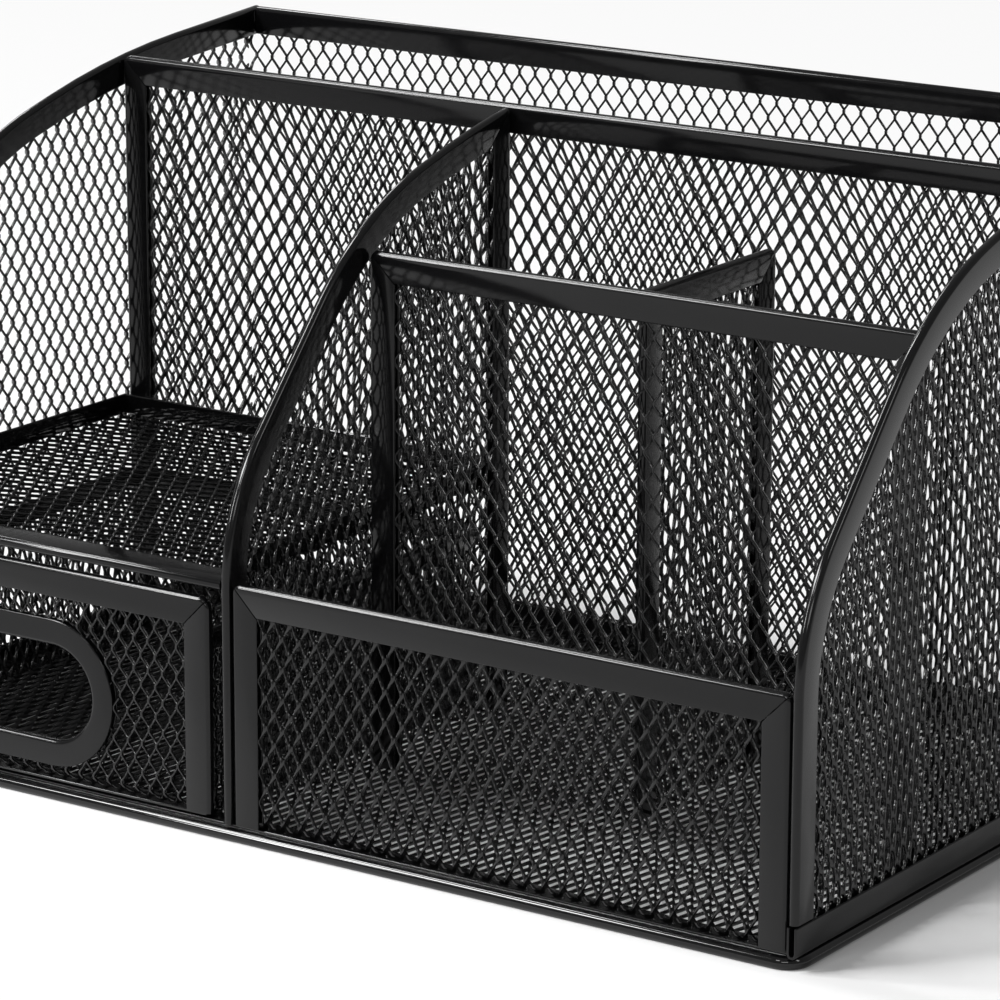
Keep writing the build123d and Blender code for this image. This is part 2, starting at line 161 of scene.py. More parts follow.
def enamel_skin_group() -> bpy.types.NodeTree:
    """Makes the node group that all the enamels share.

    Returns:
        A group that gives the colour, roughness and normal of baked enamel: slow drifts in tone,
        the fine orange peel of the sprayed coat, and specks of dust under it.
    """
    group = bpy.data.node_groups.new("enamel_skin", "ShaderNodeTree")
    face = group.interface
    for name, kind, start in (
        ("Deep", "NodeSocketColor", (0.006, 0.006, 0.007, 1)),
        ("Worn", "NodeSocketColor", (0.02, 0.02, 0.022, 1)),
        ("Smooth", "NodeSocketFloat", 0.2),
        ("Rough", "NodeSocketFloat", 0.35),
        ("Peel Size", "NodeSocketFloat", 900.0),
        ("Peel Depth", "NodeSocketFloat", 0.05),
    ):
        face.new_socket(name, in_out="INPUT", socket_type=kind).default_value = start
    for name, kind in (
        ("Color", "NodeSocketColor"),
        ("Roughness", "NodeSocketFloat"),
        ("Normal", "NodeSocketVector"),
    ):
        face.new_socket(name, in_out="OUTPUT", socket_type=kind)
    graph = NodeGraph(group)
    inputs = graph.add("NodeGroupInput")
    outputs = graph.add("NodeGroupOutput")
    place = graph.add("ShaderNodeTexCoord")
    drift = graph.add("ShaderNodeTexNoise", Scale=35.0, Detail=4.0, Roughness=0.6)
    specks = graph.add("ShaderNodeTexNoise", Scale=2600.0, Detail=1.0, Roughness=0.4)
    speck_mask = graph.add("ShaderNodeMapRange", From_Min=0.68, From_Max=0.8, To_Max=0.5)
    tone = graph.add("ShaderNodeMath", operation="ADD", use_clamp=True)
    drift_share = graph.add("ShaderNodeMapRange", From_Min=0.35, From_Max=0.7, To_Max=0.6)
    colour = graph.add("ShaderNodeMix", data_type="RGBA")
    haze = graph.add("ShaderNodeTexNoise", Scale=180.0, Detail=5.0, Roughness=0.65)
    gloss = graph.add("ShaderNodeMapRange", From_Min=0.3, From_Max=0.75)
    peel = graph.add("ShaderNodeTexNoise", Detail=2.0, Roughness=0.5)
    bump = graph.add("ShaderNodeBump", Distance=0.0002)
    graph.wire(
        *((place, "Object", texture, "Vector") for texture in (drift, specks, haze, peel)),
        (drift, "Fac", drift_share, "Value"),
        (specks, "Fac", speck_mask, "Value"),
        (drift_share, "Result", tone, 0),
        (speck_mask, "Result", tone, 1),
        (tone, "Value", colour, "Factor"),
        (inputs, "Deep", colour, "A"),
        (inputs, "Worn", colour, "B"),
        (haze, "Fac", gloss, "Value"),
        (inputs, "Smooth", gloss, "To Min"),
        (inputs, "Rough", gloss, "To Max"),
        (inputs, "Peel Size", peel, "Scale"),
        (peel, "Fac", bump, "Height"),
        (inputs, "Peel Depth", bump, "Strength"),
        (colour, "Result", outputs, "Color"),
        (gloss, "Result", outputs, "Roughness"),
        (bump, "Normal", outputs, "Normal"),
    )
    return group


@dataclass(frozen=True)
class Enamel:
    """Black baked enamel on steel.

    Attributes:
        slot: the record's slot, which names the material.
        deep: colour of the coat.
        worn: colour where the coat is thin or holds dust.
        smooth: roughness of the glossiest patches.
        rough: roughness of the dullest patches.
        peel_size: scale of the orange peel, in cells a metre.
        peel_depth: strength of the orange peel.
        bending: how strongly the coat bends light, which sets its shine.
    """

    slot: Slot
    deep: tuple[float, float, float, float]
    worn: tuple[float, float, float, float]
    smooth: float
    rough: float
    peel_size: float
    peel_depth: float
    bending: float

    def material(self, skin: bpy.types.NodeTree) -> bpy.types.Material:
        """Makes the material.

        Args:
            skin: the node group of the enamel's skin.

        Returns:
            The material, named after its slot.
        """
        made = bpy.data.materials.new(f"enamel_{self.slot.value}")
        made.use_nodes = True
        graph = NodeGraph(made.node_tree)
        shader = made.node_tree.nodes["Principled BSDF"]
        shader.inputs["IOR"].default_value = self.bending
        node = graph.add("ShaderNodeGroup", node_tree=skin)
        for name, value in (
            ("Deep", self.deep),
            ("Worn", self.worn),
            ("Smooth", self.smooth),
            ("Rough", self.rough),
            ("Peel Size", self.peel_size),
            ("Peel Depth", self.peel_depth),
        ):
            node.inputs[name].default_value = value
        graph.wire(
            (node, "Color", shader, "Base Color"),
            (node, "Roughness", shader, "Roughness"),
            (node, "Normal", shader, "Normal"),
        )
        return made


ENAMELS = (
    Enamel(
        slot=Slot.STRIP,
        deep=(0.0025, 0.0025, 0.0027, 1),
        worn=(0.0045, 0.0045, 0.0048, 1),
        smooth=0.1,
        rough=0.15,
        peel_size=500.0,
        peel_depth=0.012,
        bending=1.36,
    ),
    Enamel(
        slot=Slot.MESH,
        deep=(0.002, 0.002, 0.0022, 1),
        worn=(0.004, 0.004, 0.0042, 1),
        smooth=0.06,
        rough=0.1,
        peel_size=2200.0,
        peel_depth=0.02,
        bending=1.5,
    ),
    Enamel(
        slot=Slot.WIRE,
        deep=(0.002, 0.002, 0.0022, 1),
        worn=(0.0045, 0.0045, 0.0048, 1),
        smooth=0.05,
        rough=0.08,
        peel_size=700.0,
        peel_depth=0.015,
        bending=1.42,
    ),
)


class Finishes:
    """The made materials, by slot."""

    def __init__(self) -> None:
        skin = enamel_skin_group()
        self.by_slot = {enamel.slot: enamel.material(skin) for enamel in ENAMELS}


# ---- places and pieces --------------------------------------------------------------------------
class Grid(Enum):
    """How a flat sub-part lies: the directions of its local x, y and outward z."""

    SIDE = ((0, 1, 0), (0, 0, 1), (1, 0, 0))
    CROSS = ((1, 0, 0), (0, 0, 1), (0, -1, 0))
    LEVEL = ((1, 0, 0), (0, 1, 0), (0, 0, 1))

    def to_frame(self, offset: float = 0.0) -> Matrix:
        """Gives the matrix from local places to the frame.

        Args:
            offset: how far the plane lies along its local z.

        Returns:
            The matrix.
        """
        x_dir, y_dir, z_dir = (Vector(direction) for direction in self.value)
        turned = Matrix((x_dir, y_dir, z_dir)).transposed().to_4x4()
        return Matrix.Translation(z_dir * offset) @ turned


@dataclass(frozen=True)
class Flat:
    """The box of some nodes, seen in the plane that they lie in.

    Attributes:
        grid: the plane's directions.
        low: lowest corner in local x, y, z.
        high: highest corner in local x, y, z.
    """

    grid: Grid
    low: Vector
    high: Vector

    @classmethod
    def of(cls, grid: Grid, *nodes: str) -> "Flat":
        """Reads the joint box of some nodes.

        Args:
            grid: the plane that they lie in.
            nodes: their names.

        Returns:
            The box in local directions.
        """
        inverse = grid.to_frame().inverted()
        corners = [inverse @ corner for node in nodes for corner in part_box(node)]
        low = Vector(min(corner[axis] for corner in corners) for axis in range(3))
        high = Vector(max(corner[axis] for corner in corners) for axis in range(3))
        return cls(grid, low, high)

    @property
    def middle(self) -> float:
        """Where the sheet's middle lies along local z."""
        return (self.low.z + self.high.z) / 2

    @property
    def thickness(self) -> float:
        """Thickness along local z."""
        return self.high.z - self.low.z


@dataclass
class Part:
    """A finished mesh that stands for one node."""

    node: str
    slot: Slot
    mesh: bmesh.types.BMesh


def flat_vector(x: float, y: float) -> Vector:
    """Gives a place or direction in local x and y."""
    return Vector((x, y, 0))


RIGHT = flat_vector(1, 0)
LEFT = flat_vector(-1, 0)
AHEAD = flat_vector(0, 1)
BACK = flat_vector(0, -1)


def edges_at(verts: list[bmesh.types.BMVert]) -> list[bmesh.types.BMEdge]:
    """Gives the edges that meet some vertices, each once and always in the same order."""
    return list(dict.fromkeys(edge for vert in verts for edge in vert.link_edges))


def edges_of(faces: list[bmesh.types.BMFace]) -> list[bmesh.types.BMEdge]:
    """Gives the edges of some faces, each once and always in the same order."""
    return list(dict.fromkeys(edge for face in faces for edge in face.edges))


# ---- folded edge strip --------------------------------------------------------------------------
def arc_points(
    centre: tuple[float, float], radius: float, start: float, end: float, steps: int
) -> list[tuple[float, float]]:
    """Gives points along an arc, ends included.

    Args:
        centre: its centre.
        radius: its radius.
        start: first angle in degrees.
        end: last angle in degrees.
        steps: number of chords.

    Returns:
        The points.
    """
    turns = [math.radians(start + (end - start) * step / steps) for step in range(steps + 1)]
    return [
        (centre[0] + radius * math.cos(turn), centre[1] + radius * math.sin(turn))
        for turn in turns
    ]


@dataclass(frozen=True)
class StripSection:
    """Section of steel strip folded flat over a sheet's edge.

    Attributes:
        width: from the fold to the two free edges.
        thickness: over both cheeks.
        cheek: thickness of the steel.
        fold_steps: facets of each half of the fold.
        lip_steps: facets of each rounded free edge.
    """

    width: float
    thickness: float
    cheek: float = CHEEK
    fold_steps: int = 7
    lip_steps: int = 6

    def outline(self) -> list[tuple[float, float]]:
        """Gives the outline of the steel.

        Returns:
            Points (inward from the fold, out from the sheet) round the section.
        """
        half = self.thickness / 2
        fold = FOLD_SHARE * half
        lip = self.cheek / 2
        free = self.width - lip
        points = arc_points((fold, half - fold), fold, 90, 180, self.fold_steps)
        points += arc_points((fold, fold - half), fold, 180, 270, self.fold_steps)
        points += arc_points((free, lip - half), lip, 270, 450, self.lip_steps)
        points += arc_points((half, 0), half - self.cheek, 270, 90, self.fold_steps)
        points += arc_points((free, half - lip), lip, 270, 450, self.lip_steps)
        return points


def bar_outline(width: float, thickness: float, steps: int) -> list[tuple[float, float]]:
    """Gives the outline of a flat bar with round edges: inward from its edge, and out."""
    half = thickness / 2
    return arc_points((half, 0), half, 90, 270, steps) + arc_points(
        (width - half, 0), half, 270, 450, steps
    )


class Sweep:
    """A closed section carried along straight runs and round turns, in local x and y."""

    def __init__(
        self, outline: list[tuple[float, float]], start: Vector, along: Vector, inward: Vector
    ) -> None:
        self.bm = bmesh.new()
        ring = bmesh.ops.create_circle(self.bm, cap_ends=False, segments=len(outline), radius=1)
        for vertex, (across, out) in zip(ring["verts"], outline):
            vertex.co = start + inward * across + UP * out
        self.front = list(self.bm.edges)
        self.along = along
        self.place = start

    def run(self, length: float, stations: int = 1) -> None:
        """Goes straight on.

        Args:
            length: how far.
            stations: how many sections it adds.
        """
        for _ in range(stations):
            made = bmesh.ops.extrude_edge_only(self.bm, edges=self.front)["geom"]
            verts = [item for item in made if isinstance(item, bmesh.types.BMVert)]
            bmesh.ops.translate(self.bm, verts=verts, vec=self.along * length / stations)
            self._keep_front(verts)
        self.place = self.place + self.along * length

    def turn(self, centre: Vector, angle: float, steps: int) -> None:
        """Goes round a centre in the plane.

        Args:
            centre: the turn's centre.
            angle: counterclockwise angle.
            steps: number of facets.
        """
        made = bmesh.ops.spin(
            self.bm, geom=self.front, cent=centre, axis=UP, angle=angle, steps=steps
        )["geom_last"]
        self._keep_front([item for item in made if isinstance(item, bmesh.types.BMVert)])
        turned = Matrix.Rotation(angle, 3, "Z")
        self.along = turned @ self.along
        self.place = centre + turned @ (self.place - centre)

    def _keep_front(self, verts: list[bmesh.types.BMVert]) -> None:
        """Remembers the edges between the newest vertices."""
        newest = set(verts)
        self.front = [edge for edge in edges_at(verts) if newest.issuperset(edge.verts)]

    def weld(self) -> None:
        """Joins the last section to the first."""
        bmesh.ops.remove_doubles(self.bm, verts=self.bm.verts, dist=WELD)


@dataclass(frozen=True)
class Rounded:
    """A route of straight runs joined by round turns.

    Attributes:
        points: its corners in local x and y.
        radii: the radius at each inner corner.
    """

    points: tuple[Vector, ...]
    radii: tuple[float, ...]

    def follow(self, sweep: Sweep, facet: float = TURN_FACET) -> None:
        """Carries a sweep from the first point to the last.

        Args:
            sweep: the sweep, standing at the first point.
            facet: largest angle of one facet.
        """
        for corner, after, radius in zip(self.points[1:], self.points[2:], self.radii):
            ahead = (after - corner).normalized()
            angle = math.atan2(sweep.along.cross(ahead).z, sweep.along.dot(ahead))
            tangent = radius * math.tan(abs(angle) / 2)
            sweep.run((corner - sweep.place).dot(sweep.along) - tangent)
            side = UP.cross(sweep.along) * math.copysign(radius, angle)
            sweep.turn(sweep.place + side, angle, math.ceil(abs(angle) / facet))
        sweep.run((self.points[-1] - sweep.place).dot(sweep.along))

    def tangents(self, facet: float) -> list[tuple[Vector, Vector]]:
        """Gives places on the route with its direction there.

        Args:
            facet: angle between places on a turn.

        Returns:
            The places and directions.
        """
        along = (self.points[1] - self.points[0]).normalized()
        found = [(self.points[0], along)]
        for corner, after, radius in zip(self.points[1:], self.points[2:], self.radii):
            ahead = (after - corner).normalized()
            angle = math.atan2(along.cross(ahead).z, along.dot(ahead))
            tangent = radius * math.tan(abs(angle) / 2)
            start = corner - along * tangent
            centre = start + UP.cross(along) * math.copysign(radius, angle)
            steps = math.ceil(abs(angle) / facet)
            for step in range(1, steps + 1):
                turned = Matrix.Rotation(angle * step / steps, 3, "Z")
                found.append((centre + turned @ (start - centre), turned @ along))
            along = ahead
        return found


def cut(
    bm: bmesh.types.BMesh, point: Vector, outward: Vector, reach: float = math.inf
) -> None:
    """Removes what lies beyond a plane.

    Args:
        bm: the mesh.
        point: a point on the plane.
        outward: direction of what is removed.
        reach: how far from the point the cut has any effect.
    """
    near = {vert for vert in bm.verts if (vert.co - point).length < reach}
    faces = [face for face in bm.faces if not near.isdisjoint(face.verts)]
    verts = dict.fromkeys(vert for face in faces for vert in face.verts)
    bmesh.ops.bisect_plane(
        bm, geom=[*verts, *edges_of(faces), *faces], dist=CUT_DISTANCE, plane_co=point,
        plane_no=outward, clear_outer=True,
    )


def close_ends(bm: bmesh.types.BMesh, soften: float = 0.0) -> None:
    """Closes every open loop and rounds the edges of the new ends.

    Args:
        bm: the mesh.
        soften: width of the rounding, or 0 for none.
    """
    open_edges = [edge for edge in bm.edges if edge.is_boundary]
    made = bmesh.ops.holes_fill(bm, edges=open_edges, sides=0)["faces"]
    if soften:
        bmesh.ops.bevel(
            bm, geom=edges_of(made), offset=soften, offset_type="OFFSET", affect="EDGES",
            segments=2, profile=0.5, material=-1, clamp_overlap=True,
        )


@dataclass(frozen=True)
class Corner:
    """A rounded corner of a framed sheet, where two strips meet in a mitre.

    Attributes:
        place: the sharp corner.
        radius: its rounding.
        gap: the seam's width, measured along either strip.
    """

    place: Vector
    radius: float
    gap: float

    def shape(self, bm: bmesh.types.BMesh, away: Vector, inward: Vector, width: float) -> None:
        """Draws in the fold round the corner and cuts the mitre.

        Args:
            bm: the strip.
            away: from the corner along the strip.
            inward: from the fold into the sheet.
            width: the strip's width.
        """
        for vert in bm.verts:
            past = (vert.co - self.place).dot(away)
            if past >= self.radius:
                continue
            from_centre = min(self.radius - past, self.radius)
            drawn = self.radius - math.sqrt(self.radius**2 - from_centre**2)
            across = (vert.co - self.place).dot(inward)
            vert.co += inward * drawn * max(0.0, min(1.0, 1 - across / width))
        seam = self.place + away * self.gap / 2
        cut(bm, seam, (inward - away).normalized())


@dataclass(frozen=True)
class StraightStrip:
    """A strip along a straight edge, with the sheet to the left of start to end.

    Attributes:
        section: the strip's section.
        start: where the fold starts.
        end: where it ends.
        first: the mitred corner at the start, if any.
        last: the mitred corner at the end, if any.
    """

    section: StripSection
    start: Vector
    end: Vector
    first: Corner | None = None
    last: Corner | None = None

    def build(self) -> bmesh.types.BMesh:
        """Makes the strip.

        Returns:
            The mesh, in local places.
        """
        along = (self.end - self.start).normalized()
        inward = UP.cross(along)
        sweep = Sweep(self.section.outline(), self.start, along, inward)
        length = (self.end - self.start).length
        first_reach = self.first.radius if self.first else 0.0
        last_reach = self.last.radius if self.last else 0.0
        if self.first:
            sweep.run(first_reach, CORNER_STATIONS)
        sweep.run(length - first_reach - last_reach)
        if self.last:
            sweep.run(last_reach, CORNER_STATIONS)
        if self.first:
            self.first.shape(sweep.bm, along, inward, self.section.width)
        if self.last:
            self.last.shape(sweep.bm, -along, inward, self.section.width)
        close_ends(sweep.bm, END_ROUNDING)
        return sweep.bm


# ---- expanded metal -----------------------------------------------------------------------------
@dataclass(frozen=True)
class Ribbon:
    """The ribbon of steel that an expanded sheet is drawn out into.

    Attributes:
        width: width of one ribbon.
        thickness: thickness of the sheet before it was slit.
        edge: how far the worn edges draw in.
        knuckle: length over which two ribbons hold together.
    """

    width: float = 0.7 * MM
    thickness: float = 0.5 * MM
    edge: float = 0.13 * MM
    knuckle: float = 0.6 * MM

    def free(self) -> list[tuple[float, float]]:
        """Section of a free ribbon about its middle: across, and through the steel."""
        side = self.width / 2
        face = self.thickness / 2
        flat = side - self.edge
        return [(-side, 0), (-flat, face), (flat, face), (side, 0), (flat, -face), (-flat, -face)]

    def left(self) -> list[tuple[float, float]]:
        """Section of the left ribbon where it parts from the knuckle."""
        face = self.thickness / 2
        flat = self.width - self.edge
        return [(-self.width, 0), (-flat, face), (0, face), (0, 0), (0, -face), (-flat, -face)]

    def right(self) -> list[tuple[float, float]]:
        """Section of the right ribbon where it parts from the knuckle."""
        face = self.thickness / 2
        flat = self.width - self.edge
        return [(0, 0), (0, face), (flat, face), (self.width, 0), (flat, -face), (0, -face)]

    def pair(self) -> list[tuple[float, float]]:
        """Section of a knuckle: both ribbons side by side."""
        face = self.thickness / 2
        flat = self.width - self.edge
        return [
            (-self.width, 0), (-flat, face), (0, face), (flat, face),
            (self.width, 0), (flat, -face), (0, -face), (-flat, -face),
        ]


class Lean(Enum):
    """Which edges of the ribbons stand proud of a sheet's outer side."""

    LEFT_PROUD = 1
    RIGHT_PROUD = -1


@dataclass(frozen=True)
class Weave:
    """How a sheet was expanded.

    Attributes:
        pitch_x: distance between the gaps of a row.
        pitch_y: distance between every second row.
        lean: which edges of the ribbons stand proud of the sheet's outer side.
        ribbon: the ribbon's own sizes.
    """

    pitch_x: float
    pitch_y: float
    lean: Lean
    ribbon: Ribbon = Ribbon()

    @property
    def tilt(self) -> float:
        """Angle between the ribbons and the sheet, about the gaps' long way.

        A ribbon keeps its width while the sheet is drawn out from two ribbons to one gap.
        """
        return self.lean.value * math.acos(2 * self.ribbon.width / self.pitch_x)

    @property
    def step_x(self) -> Vector:
        """From one gap to the next in its row."""
        return Vector((self.pitch_x, 0, 0))

    @property
    def step_y(self) -> Vector:
        """From one gap to the next above it."""
        return Vector((0, self.pitch_y, 0))


class ExpandedSheet:
    """A flat sheet of expanded metal in local x and y, with its gaps' long way along y."""

    def __init__(self, weave: Weave) -> None:
        self.weave = weave
        self.turn = Matrix.Rotation(weave.tilt, 3, "Y")

    def _ring(self, section: list[tuple[float, float]], centre: Vector) -> list[Vector]:
        """Puts a section, lying across local y, at a place."""
        return [centre + self.turn @ Vector((across, 0, through)) for across, through in section]

    def _tube(self, bm: bmesh.types.BMesh, rings: list[list[Vector]]) -> None:
        """Skins a tube over rings of points."""
        circle = bmesh.ops.create_circle(bm, cap_ends=False, segments=len(rings[0]), radius=1)
        verts = circle["verts"]
        edges = edges_at(verts)
        for vert, place in zip(verts, rings[0]):
            vert.co = place
        for ring in rings[1:]:
            made = bmesh.ops.extrude_edge_only(bm, edges=edges)["geom"]
            new = {item for item in made if isinstance(item, bmesh.types.BMVert)}
            verts = [
                next(edge.other_vert(vert) for edge in vert.link_edges
                     if edge.other_vert(vert) in new)
                for vert in verts
            ]
            edges = [edge for edge in edges_at(verts) if new.issuperset(edge.verts)]
            for vert, place in zip(verts, ring):
                vert.co = place

    def _knuckle(self, bm: bmesh.types.BMesh, centre: Vector) -> None:
        """Adds a knuckle and the two ribbons that rise from it."""
        ribbon = self.weave.ribbon
        reach = Vector((0, ribbon.knuckle / 2, 0))
        self._tube(bm, [self._ring(ribbon.pair(), centre + reach * end) for end in (-1, 1)])
        for side, leaving, arriving in (
            (-1, ribbon.left(), ribbon.right()),
            (1, ribbon.right(), ribbon.left()),
        ):
            start = centre + reach
            end = centre + self.weave.step_x * side / 2 + self.weave.step_y / 2 - reach
            middle = (start + end) / 2
            self._tube(bm, [
                self._ring(leaving, start),
                self._ring(ribbon.free(), middle),
                self._ring(arriving, end),
            ])

    def build(self, low: Vector, high: Vector) -> bmesh.types.BMesh:
        """Makes the sheet, a little larger than asked.

        Args:
            low: corner in local x and y where a knuckle lies.
            high: the opposite corner.

        Returns:
            The mesh, in local places.
        """
        weave = self.weave
        unit = bmesh.new()
        first = Vector((low.x, low.y, 0)) - weave.step_x - weave.step_y
        self._knuckle(unit, first)
        self._knuckle(unit, first + (weave.step_x + weave.step_y) / 2)
        mesh = bpy.data.meshes.new("unit")
        unit.to_mesh(mesh)
        unit.free()
        holder = bpy.data.objects.new("unit", mesh)
        bpy.context.scene.collection.objects.link(holder)
        spans = (
            (weave.step_x, (high.x - low.x) / weave.pitch_x),
            (weave.step_y, (high.y - low.y) / weave.pitch_y),
        )
        for step, share in spans:
            row = holder.modifiers.new("row", "ARRAY")
            row.use_relative_offset = False
            row.use_constant_offset = True
            row.constant_offset_displace = step
            row.count = math.ceil(share) + 3
        evaluated = holder.evaluated_get(bpy.context.evaluated_depsgraph_get())
        bm = bmesh.new()
        bm.from_mesh(evaluated.to_mesh())
        evaluated.to_mesh_clear()
        bpy.data.objects.remove(holder)
        bpy.data.meshes.remove(mesh)
        bmesh.ops.remove_doubles(bm, verts=bm.verts, dist=NET_WELD)
        return bm


LEFT_WEAVE = Weave(3.85 * MM, 6.2 * MM, Lean.LEFT_PROUD)
WALL_WEAVE = Weave(3.85 * MM, 6.2 * MM, Lean.RIGHT_PROUD)
FRONT_WEAVE = Weave(3.85 * MM, 5.9 * MM, Lean.LEFT_PROUD)
DRAWER_WEAVE = Weave(3.38 * MM, 5.8 * MM, Lean.RIGHT_PROUD)
TRAY_WEAVE = Weave(3.5 * MM, 6.0 * MM, Lean.RIGHT_PROUD)
FLOOR_WEAVE = Weave(3.85 * MM, 6.2 * MM, Lean.LEFT_PROUD)
DRAWER_FLOOR_WEAVE = Weave(3.38 * MM, 5.8 * MM, Lean.LEFT_PROUD)


def clip(bm: bmesh.types.BMesh, low: Vector, high: Vector, sides: str) -> None:
    """Cuts a sheet to the sides of a rectangle.

    Args:
        bm: the sheet, in local places.
        low: lowest corner.
        high: highest corner.
        sides: names of the sides to cut.
    """
    planes = {
        "left": (low, LEFT), "right": (high, RIGHT), "bottom": (low, BACK), "top": (high, AHEAD),
    }
    for side in sides.split():
        cut(bm, *planes[side])


def roll_end(
    bm: bmesh.types.BMesh, axis: int, start: float, way: int, radius: float, rise: int
) -> None:
    """Rolls the end of a sheet round a quarter turn.

    Args:
        bm: the sheet, flat in local x and y.
        axis: local axis along which the sheet runs into the turn.
        start: where the turn starts.
        way: 1 if the turn lies at higher values, -1 if at lower.
        radius: radius of the sheet's middle.
        rise: 1 if the end turns towards local z, -1 if away from it.
    """
    for vert in bm.verts:
        past = (vert.co[axis] - start) * way
        if past <= 0:
            continue
        angle = min(past / radius, math.pi / 2)
        reach = radius - vert.co.z * rise
        vert.co[axis] = start + way * reach * math.sin(angle)
        vert.co.z = rise * (radius - reach * math.cos(angle) + past - angle * radius)


# ---- sub-assemblies -----------------------------------------------------------------------------
@dataclass
class SubAssembly:
    """Pieces that are built together.

    Attributes:
        body: what they move with.
        parts: the built meshes.
    """

    body: Body = Body.FRAME
    parts: list[Part] = field(default_factory=list)

    def keep(self, node: str, slot: Slot, bm: bmesh.types.BMesh, grid: Grid, offset: float) -> None:
        """Moves a built mesh from local places to the frame and keeps it.

        Args:
            node: the node that it stands for.
            slot: its finish.
            bm: the mesh.
            grid: the plane it was built in.
            offset: where that plane lies.
        """
        bmesh.ops.transform(bm, matrix=grid.to_frame(offset), verts=bm.verts)
        self.parts.append(Part(node, slot, bm))

    def edge_strip(
        self, grid: Grid, node: str, fold_on_top: bool = False, cheek: float = CHEEK
    ) -> None:
        """Builds and keeps the straight strip that fills a node's box.

        Args:
            grid: the plane that it lies in.
            node: the node.
            fold_on_top: whether its fold lies along the top, not along the bottom.
            cheek: thickness of its steel.
        """
        box = Flat.of(grid, node)
        section = StripSection(box.high.y - box.low.y, box.thickness, cheek)
        fold = box.high.y if fold_on_top else box.low.y
        ends = [flat_vector(box.low.x, fold), flat_vector(box.high.x, fold)]
        if fold_on_top:
            ends.reverse()
        self.keep(node, Slot.STRIP, StraightStrip(section, *ends).build(), grid, box.middle)

    def build(self) -> None:
        """Builds the meshes."""
        raise NotImplementedError

    def dress(self, finishes: Finishes) -> None:
        """Makes the pieces, gives them their finish and lets them ride.

        Args:
            finishes: the materials.
        """
        for part in self.parts:
            bm = part.mesh
            bmesh.ops.recalc_face_normals(bm, faces=bm.faces)
            for face in bm.faces:
                face.smooth = True
            mesh = bpy.data.meshes.new(f"enamelled_{part.node}")
            bm.to_mesh(mesh)
            bm.free()
            mesh.materials.append(finishes.by_slot[part.slot])
            if part.slot is not Slot.MESH:
                mesh.set_sharp_from_angle(angle=SHARP_ANGLE)
            piece = bpy.data.objects.new(mesh.name, mesh)
            bpy.context.scene.collection.objects.link(piece)
            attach(piece, self.body.value)
            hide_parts(part.node)
            LOG.info("%s: %d faces", piece.name, len(mesh.polygons))


def add_front_margin(bm: bmesh.types.BMesh, net: Flat) -> None:
    """Adds the unslit margin along the front edge of a level sheet.

    Args:
        bm: the sheet.
        net: the box of its node.
    """
    low = Vector((net.low.x, net.low.y - MARGIN_FRONT, -MARGIN_HALF))
    high = Vector((net.high.x, net.low.y + MARGIN_WIDTH, MARGIN_HALF))
    bar = bmesh.ops.create_cube(bm, size=1)["verts"]
    size = Matrix.Diagonal((*(high - low), 1))
    bmesh.ops.transform(bm, matrix=Matrix.Translation((low + high) / 2) @ size, verts=bar)
    bmesh.ops.bevel(
        bm, geom=edges_at(bar), offset=END_ROUNDING, segments=2, profile=0.5, affect="EDGES",
        material=-1,
    )


@dataclass
class FramedPanel(SubAssembly):
    """Sheet with strips on its top, left and right edges.

    Attributes:
        name: start of its nodes' names.
        grid: the plane it lies in.
        weave: how its sheet was expanded.
        corner: rounding of its top corners.
        rolled: whether its sheet rolls under at the foot.
    """

    name: str = ""
    grid: Grid = Grid.CROSS
    weave: Weave = WALL_WEAVE
    corner: float = STRIP_CORNER
    rolled: bool = False

    def build(self) -> None:
        """Builds the three strips and the sheet."""
        top = Flat.of(self.grid, f"{self.name}_top_strip")
        left = Flat.of(self.grid, f"{self.name}_left_strip")
        right = Flat.of(self.grid, f"{self.name}_right_strip")
        section = StripSection(top.high.y - top.low.y, top.thickness)
        top_left = flat_vector(left.low.x, top.high.y)
        top_right = flat_vector(right.high.x, top.high.y)
        left_corner = Corner(top_left, self.corner, SEAM_GAP)
        right_corner = Corner(top_right, self.corner, SEAM_GAP)
        strips = {
            "top": StraightStrip(section, top_right, top_left, right_corner, left_corner),
            "left": StraightStrip(
                section, top_left, flat_vector(left.low.x, left.low.y), left_corner
            ),
            "right": StraightStrip(
                section, flat_vector(right.high.x, right.low.y), top_right, last=right_corner
            ),
        }
        for side, strip in strips.items():
            self.keep(f"{self.name}_{side}_strip", Slot.STRIP, strip.build(), self.grid, top.middle)
        self.keep(f"{self.name}_net", Slot.MESH, self.sheet(), self.grid, top.middle)

    def sheet(self) -> bmesh.types.BMesh:
        """Makes the sheet.

        Returns:
            The mesh, in local places.
        """
        net = Flat.of(self.grid, f"{self.name}_net")
        if not self.rolled:
            return cut_sheet(self.weave, net)
        start = net.low.y + NET_HALF + ROLL_RADIUS
        foot = flat_vector(net.low.x, start - ROLL_RADIUS * math.pi / 2)
        bm = cut_sheet(self.weave, net, low=foot)
        roll_end(bm, axis=1, start=start, way=-1, radius=ROLL_RADIUS, rise=-1)
        return bm


def wall_route(bottom: float, overrun: float = 0.0) -> Rounded:
    """Gives the outer edge of the side walls, from the front foot to the rear top corner.

    Args:
        bottom: height where it starts.
        overrun: how far it goes on past the rear.

    Returns:
        The route in local x and y.
    """
    wall = Flat.of(Grid.SIDE, "right_wall_edging", "right_wall_bottom_strip")
    front = wall.low.x
    rear = flat_vector(wall.high.x, wall.high.y)
    shoulder = flat_vector(front + SHOULDER[0], SHOULDER[1])
    last = rear + (rear - shoulder).normalized() * overrun
    points = (
        flat_vector(front, bottom),
        flat_vector(front, FRONT_TURN_HEIGHT),
        flat_vector(front + KNEE[0], KNEE[1]),
        shoulder,
        last,
    )
    return Rounded(points, WALL_ROUTE_RADII)


